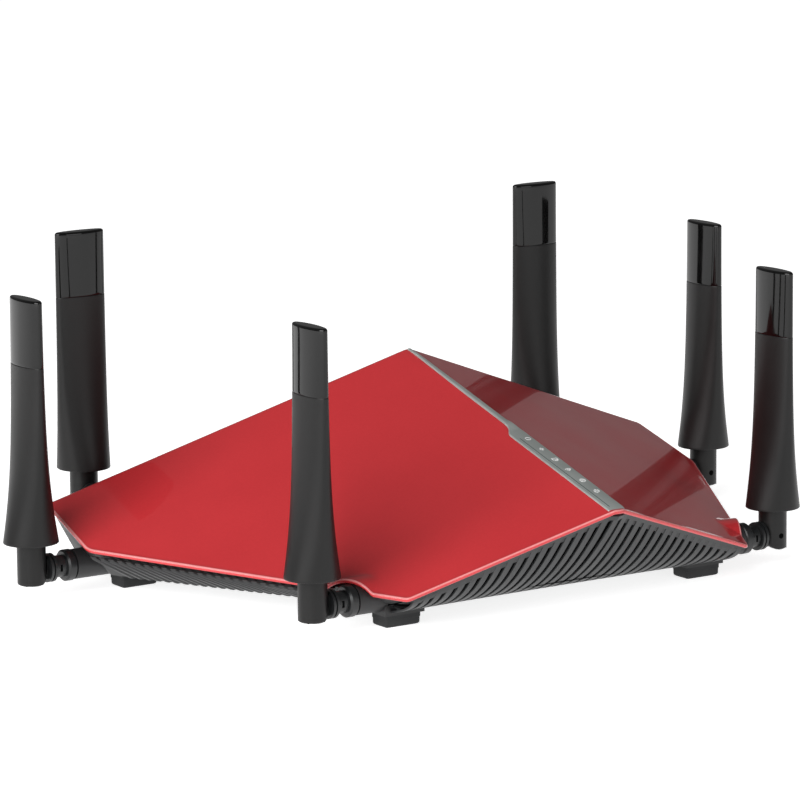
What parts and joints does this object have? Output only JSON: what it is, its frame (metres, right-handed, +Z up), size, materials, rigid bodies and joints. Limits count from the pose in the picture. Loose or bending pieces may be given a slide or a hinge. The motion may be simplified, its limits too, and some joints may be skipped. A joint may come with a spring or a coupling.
{
  "type": "wireless router",
  "caption": "Wireless router with a folded glossy roof shell, louvred front, silver ridge band with lamps, socket panel at the rear and swivelling blade antennas.",
  "frame": {"origin": "centre of the bounding box at the surface that the feet stand on", "axes": "+Z up, -Y towards the front tip of the ridge, X across; the housing is symmetrical about the YZ plane"},
  "size_m": [0.3896, 0.2474, 0.1495],
  "materials": {
    "red_shell": "high-gloss",
    "black_shell": "fine satin texture",
    "dark_grille": "satin",
    "panel_black": "fine spark texture",
    "silver_trim": "silver lacquer",
    "lamp_window": "smoked acrylic",
    "green_board": "solder mask",
    "lamp": "moulded",
    "black_parts": "moulded",
    "tin_shield": "tin plate",
    "heat_sink_metal": "extruded",
    "socket_plastic": "moulded",
    "steel": "nickel plate",
    "button_grey": "moulded",
    "button_red": "moulded",
    "gold_contact": "gold flash",
    "cable_jacket": "extruded",
    "foot_rubber": "moulded",
    "antenna_matte": "soft-touch",
    "antenna_gloss": "piano black",
    "nut_black": "moulded"
  },
  "bodies": {
    "housing": {"top_shell": "red_shell", "bottom_shell": "black_shell", "front_grille": "dark_grille", "rear_panel": "panel_black", "ridge_strip": "silver_trim", "led_window": "lamp_window", "led_board": "green_board", "status_leds": "lamp", "main_board": "green_board", "board_parts": "black_parts", "shield_cans": "tin_shield", "heat_sink": "heat_sink_metal", "ethernet_jacks": "socket_plastic", "usb_jacks": "steel", "dc_jack": "socket_plastic", "tact_switches": "black_parts", "antenna_jacks": "gold_contact", "rf_pigtails": "cable_jacket", "board_screws": "steel", "case_screws": "steel", "feet": "foot_rubber"},
    "power_button": {"power_button": "button_grey"},
    "wps_button": {"wps_button": "button_grey"},
    "reset_button": {"reset_button": "button_red"},
    "antenna_1_base": {"antenna_1_knuckle": "nut_black"},
    "antenna_1_arm": {"antenna_1_sleeve": "antenna_matte", "antenna_1_cap": "antenna_gloss", "antenna_1_radiator": "green_board", "antenna_1_pin": "steel"},
    "antenna_1_coupling": {"antenna_1_nut": "nut_black"},
    "antenna_2_base": {"antenna_2_knuckle": "nut_black"},
    "antenna_2_arm": {"antenna_2_sleeve": "antenna_matte", "antenna_2_cap": "antenna_gloss", "antenna_2_radiator": "green_board", "antenna_2_pin": "steel"},
    "antenna_2_coupling": {"antenna_2_nut": "nut_black"},
    "antenna_3_base": {"antenna_3_knuckle": "nut_black"},
    "antenna_3_arm": {"antenna_3_sleeve": "antenna_matte", "antenna_3_cap": "antenna_gloss", "antenna_3_radiator": "green_board", "antenna_3_pin": "steel"},
    "antenna_3_coupling": {"antenna_3_nut": "nut_black"},
    "antenna_4_base": {"antenna_4_knuckle": "nut_black"},
    "antenna_4_arm": {"antenna_4_sleeve": "antenna_matte", "antenna_4_cap": "antenna_gloss", "antenna_4_radiator": "green_board", "antenna_4_pin": "steel"},
    "antenna_4_coupling": {"antenna_4_nut": "nut_black"},
    "antenna_5_base": {"antenna_5_knuckle": "nut_black"},
    "antenna_5_arm": {"antenna_5_sleeve": "antenna_matte", "antenna_5_cap": "antenna_gloss", "antenna_5_radiator": "green_board", "antenna_5_pin": "steel"},
    "antenna_5_coupling": {"antenna_5_nut": "nut_black"},
    "antenna_6_base": {"antenna_6_knuckle": "nut_black"},
    "antenna_6_arm": {"antenna_6_sleeve": "antenna_matte", "antenna_6_cap": "antenna_gloss", "antenna_6_radiator": "green_board", "antenna_6_pin": "steel"},
    "antenna_6_coupling": {"antenna_6_nut": "nut_black"}
  },
  "joints": [
    {"name": "antenna_1_swivel", "type": "hinge", "parent": "housing", "child": "antenna_1_base", "pos_m": [-0.1826, 0.0574, 0.0133], "axis": [-1, 0, 0], "range_deg": [-90, 90]},
    {"name": "antenna_1_elbow", "type": "hinge", "parent": "antenna_1_base", "child": "antenna_1_arm", "pos_m": [-0.1826, 0.0574, 0.0133], "axis": [0, -1, 0], "range_deg": [0, 90]},
    {"name": "antenna_1_nut_turn", "type": "hinge", "parent": "housing", "child": "antenna_1_coupling", "pos_m": [-0.1826, 0.0574, 0.0133], "axis": [1, 0, 0], "continuous": true},
    {"name": "antenna_2_swivel", "type": "hinge", "parent": "housing", "child": "antenna_2_base", "pos_m": [-0.1239, 0.1121, 0.0305], "axis": [0, -1, 0], "range_deg": [-90, 90]},
    {"name": "antenna_2_elbow", "type": "hinge", "parent": "antenna_2_base", "child": "antenna_2_arm", "pos_m": [-0.1239, 0.1121, 0.0305], "axis": [-1, 0, 0], "range_deg": [0, 90]},
    {"name": "antenna_2_nut_turn", "type": "hinge", "parent": "housing", "child": "antenna_2_coupling", "pos_m": [-0.1239, 0.1121, 0.0305], "axis": [0, 1, 0], "continuous": true},
    {"name": "antenna_3_swivel", "type": "hinge", "parent": "housing", "child": "antenna_3_base", "pos_m": [-0.1219, -0.0719, 0.0133], "axis": [-1, 0, 0], "range_deg": [-90, 50]},
    {"name": "antenna_3_elbow", "type": "hinge", "parent": "antenna_3_base", "child": "antenna_3_arm", "pos_m": [-0.1219, -0.0719, 0.0133], "axis": [0, -1, 0], "range_deg": [0, 90]},
    {"name": "antenna_3_nut_turn", "type": "hinge", "parent": "housing", "child": "antenna_3_coupling", "pos_m": [-0.1219, -0.0719, 0.0133], "axis": [1, 0, 0], "continuous": true},
    {"name": "antenna_4_swivel", "type": "hinge", "parent": "housing", "child": "antenna_4_base", "pos_m": [0.1239, 0.1121, 0.0305], "axis": [0, 1, 0], "range_deg": [-90, 90]},
    {"name": "antenna_4_elbow", "type": "hinge", "parent": "antenna_4_base", "child": "antenna_4_arm", "pos_m": [0.1239, 0.1121, 0.0305], "axis": [-1, 0, 0], "range_deg": [0, 90]},
    {"name": "antenna_4_nut_turn", "type": "hinge", "parent": "housing", "child": "antenna_4_coupling", "pos_m": [0.1239, 0.1121, 0.0305], "axis": [0, 1, 0], "continuous": true},
    {"name": "antenna_5_swivel", "type": "hinge", "parent": "housing", "child": "antenna_5_base", "pos_m": [0.1826, 0.0574, 0.0133], "axis": [-1, 0, 0], "range_deg": [-90, 90]},
    {"name": "antenna_5_elbow", "type": "hinge", "parent": "antenna_5_base", "child": "antenna_5_arm", "pos_m": [0.1826, 0.0574, 0.0133], "axis": [0, 1, 0], "range_deg": [0, 90]},
    {"name": "antenna_5_nut_turn", "type": "hinge", "parent": "housing", "child": "antenna_5_coupling", "pos_m": [0.1826, 0.0574, 0.0133], "axis": [1, 0, 0], "continuous": true},
    {"name": "antenna_6_swivel", "type": "hinge", "parent": "housing", "child": "antenna_6_base", "pos_m": [0.1219, -0.0719, 0.0133], "axis": [-1, 0, 0], "range_deg": [-90, 50]},
    {"name": "antenna_6_elbow", "type": "hinge", "parent": "antenna_6_base", "child": "antenna_6_arm", "pos_m": [0.1219, -0.0719, 0.0133], "axis": [0, 1, 0], "range_deg": [0, 90]},
    {"name": "antenna_6_nut_turn", "type": "hinge", "parent": "housing", "child": "antenna_6_coupling", "pos_m": [0.1219, -0.0719, 0.0133], "axis": [1, 0, 0], "continuous": true},
    {"name": "power_press", "type": "slide", "parent": "housing", "child": "power_button", "axis": [0, -1, 0], "range_m": [0, 0.0015], "stiffness_N_per_m": 400, "springref_m": -0.0005},
    {"name": "wps_press", "type": "slide", "parent": "housing", "child": "wps_button", "axis": [0, -1, 0], "range_m": [0, 0.001], "stiffness_N_per_m": 400, "springref_m": -0.0005},
    {"name": "reset_press", "type": "slide", "parent": "housing", "child": "reset_button", "axis": [0, -1, 0], "range_m": [0, 0.0009], "stiffness_N_per_m": 400, "springref_m": -0.0005}
  ]
}
